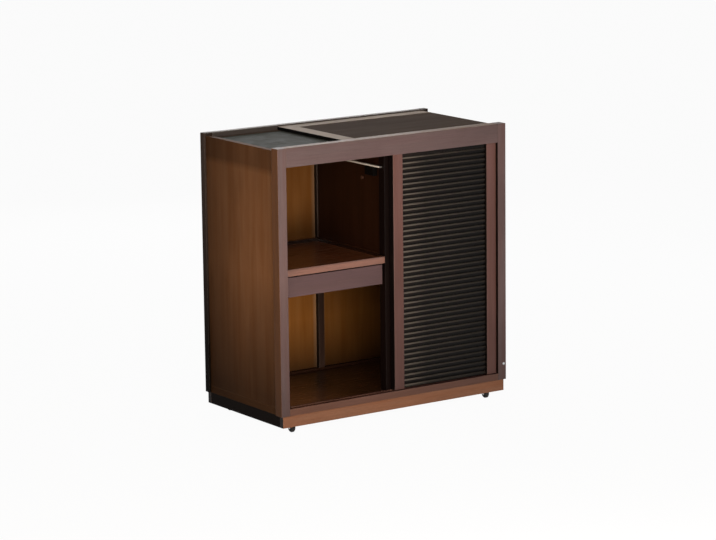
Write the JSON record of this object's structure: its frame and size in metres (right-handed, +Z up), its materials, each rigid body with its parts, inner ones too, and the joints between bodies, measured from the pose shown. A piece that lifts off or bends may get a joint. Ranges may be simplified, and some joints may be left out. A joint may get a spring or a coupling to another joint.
{
  "type": "side cabinet",
  "caption": "Low side cabinet on castors: open bay with a shelf and shallow drawer, a sliding ribbed door, and a recessed top with a slate surface and a sliding lid.",
  "frame": {"origin": "on the floor under the middle of the cabinet", "axes": "+X to the right seen from the front, +Y from the front to the rear, +Z up"},
  "size_m": [0.8, 0.41, 0.826],
  "materials": {
    "frame_wood": "stained and lacquered, satin, long straight grain",
    "rear_frame_wood": "stained dark and lacquered, satin",
    "side_wood": "oiled warm brown veneer, upright grain, satin",
    "inner_wood": "oiled golden brown veneer, satin",
    "shelf_wood": "stained red brown, lacquered, satin gloss",
    "door_wood": "stained red brown, lacquered, satin",
    "ribbed_wood": "stained black, lacquered, satin gloss",
    "plinth_wood": "stained brown, satin",
    "strip_wood": "grey beige, matt lacquer",
    "lid_veneer": "dark grey brown, matt, fine texture",
    "slate": "dark grey green stone, riven, matt",
    "plain_wood": "bare sanded wood, sealed",
    "anodised_aluminium": "clear anodised, satin",
    "black_plastic": "moulded, fine texture",
    "brown_plastic": "moulded, satin",
    "zinc_plated_steel": "pressed and bright zinc plated",
    "black_rubber": "moulded, matt",
    "plug_metal": "turned, satin"
  },
  "bodies": {
    "carcass": {"front_stile_left": "frame_wood", "front_stile_right": "frame_wood", "front_top_rail": "frame_wood", "front_bottom_rail": "frame_wood", "rear_stile_left": "rear_frame_wood", "rear_stile_right": "rear_frame_wood", "rear_top_rail": "rear_frame_wood", "rear_bottom_rail": "rear_frame_wood", "rear_post": "rear_frame_wood", "side_panel_left": "side_wood", "side_panel_right": "side_wood", "side_bottom_rail_left": "side_wood", "side_bottom_rail_right": "side_wood", "back_panel_left": "inner_wood", "back_panel_right": "inner_wood", "partition": "inner_wood", "front_post": "inner_wood", "deck": "inner_wood", "drawer_bearer": "inner_wood", "shelf": "shelf_wood", "base_board": "shelf_wood", "plinth_front": "plinth_wood", "plinth_rear": "plinth_wood", "plinth_left": "plinth_wood", "plinth_right": "plinth_wood", "slate_tile": "slate", "drawer_runner_left": "plain_wood", "castor_rail_front": "plain_wood", "castor_rail_rear": "plain_wood", "light_bar": "anodised_aluminium", "light_driver_box": "black_plastic", "light_sensor": "brown_plastic", "castor_plate_front_left": "zinc_plated_steel", "castor_plate_front_right": "zinc_plated_steel", "castor_plate_rear_left": "zinc_plated_steel", "castor_plate_rear_right": "zinc_plated_steel", "stile_plug": "plug_metal"},
    "door": {"door_stile_left": "door_wood", "door_stile_right": "door_wood", "door_top_rail": "ribbed_wood", "door_bottom_rail": "ribbed_wood", "door_ribbed_panel": "ribbed_wood"},
    "drawer": {"drawer_front": "frame_wood", "drawer_side_left": "plain_wood", "drawer_side_right": "plain_wood", "drawer_back": "plain_wood", "drawer_bottom": "plain_wood"},
    "lid": {"lid_left_strip": "strip_wood", "lid_front_strip": "strip_wood", "lid_rear_strip": "strip_wood", "lid_panel": "lid_veneer"},
    "swivel_front_left": {"castor_fork_front_left": "zinc_plated_steel"},
    "wheel_front_left": {"castor_wheel_front_left": "black_rubber"},
    "swivel_front_right": {"castor_fork_front_right": "zinc_plated_steel"},
    "wheel_front_right": {"castor_wheel_front_right": "black_rubber"},
    "swivel_rear_left": {"castor_fork_rear_left": "zinc_plated_steel"},
    "wheel_rear_left": {"castor_wheel_rear_left": "black_rubber"},
    "swivel_rear_right": {"castor_fork_rear_right": "zinc_plated_steel"},
    "wheel_rear_right": {"castor_wheel_rear_right": "black_rubber"}
  },
  "joints": [
    {"name": "door_slide", "type": "slide", "parent": "carcass", "child": "door", "axis": [1, 0, 0], "range_m": [-0.37, 0]},
    {"name": "drawer_slide", "type": "slide", "parent": "carcass", "child": "drawer", "axis": [0, -1, 0], "range_m": [0, 0.22]},
    {"name": "lid_slide", "type": "slide", "parent": "carcass", "child": "lid", "axis": [1, 0, 0], "range_m": [-0.22, 0]},
    {"name": "castor_swivel_front_left", "type": "hinge", "parent": "carcass", "child": "swivel_front_left", "pos_m": [-0.346, -0.165, 0.0362], "axis": [0, 0, 1], "continuous": true},
    {"name": "castor_roll_front_left", "type": "hinge", "parent": "swivel_front_left", "child": "wheel_front_left", "pos_m": [-0.346, -0.173, 0.014], "axis": [1, 0, 0], "continuous": true},
    {"name": "castor_swivel_front_right", "type": "hinge", "parent": "carcass", "child": "swivel_front_right", "pos_m": [0.346, -0.165, 0.0362], "axis": [0, 0, 1], "continuous": true},
    {"name": "castor_roll_front_right", "type": "hinge", "parent": "swivel_front_right", "child": "wheel_front_right", "pos_m": [0.346, -0.173, 0.014], "axis": [1, 0, 0], "continuous": true},
    {"name": "castor_swivel_rear_left", "type": "hinge", "parent": "carcass", "child": "swivel_rear_left", "pos_m": [-0.346, 0.165, 0.0362], "axis": [0, 0, 1], "continuous": true},
    {"name": "castor_roll_rear_left", "type": "hinge", "parent": "swivel_rear_left", "child": "wheel_rear_left", "pos_m": [-0.346, 0.157, 0.014], "axis": [1, 0, 0], "continuous": true},
    {"name": "castor_swivel_rear_right", "type": "hinge", "parent": "carcass", "child": "swivel_rear_right", "pos_m": [0.346, 0.165, 0.0362], "axis": [0, 0, 1], "continuous": true},
    {"name": "castor_roll_rear_right", "type": "hinge", "parent": "swivel_rear_right", "child": "wheel_rear_right", "pos_m": [0.346, 0.157, 0.014], "axis": [1, 0, 0], "continuous": true}
  ]
}
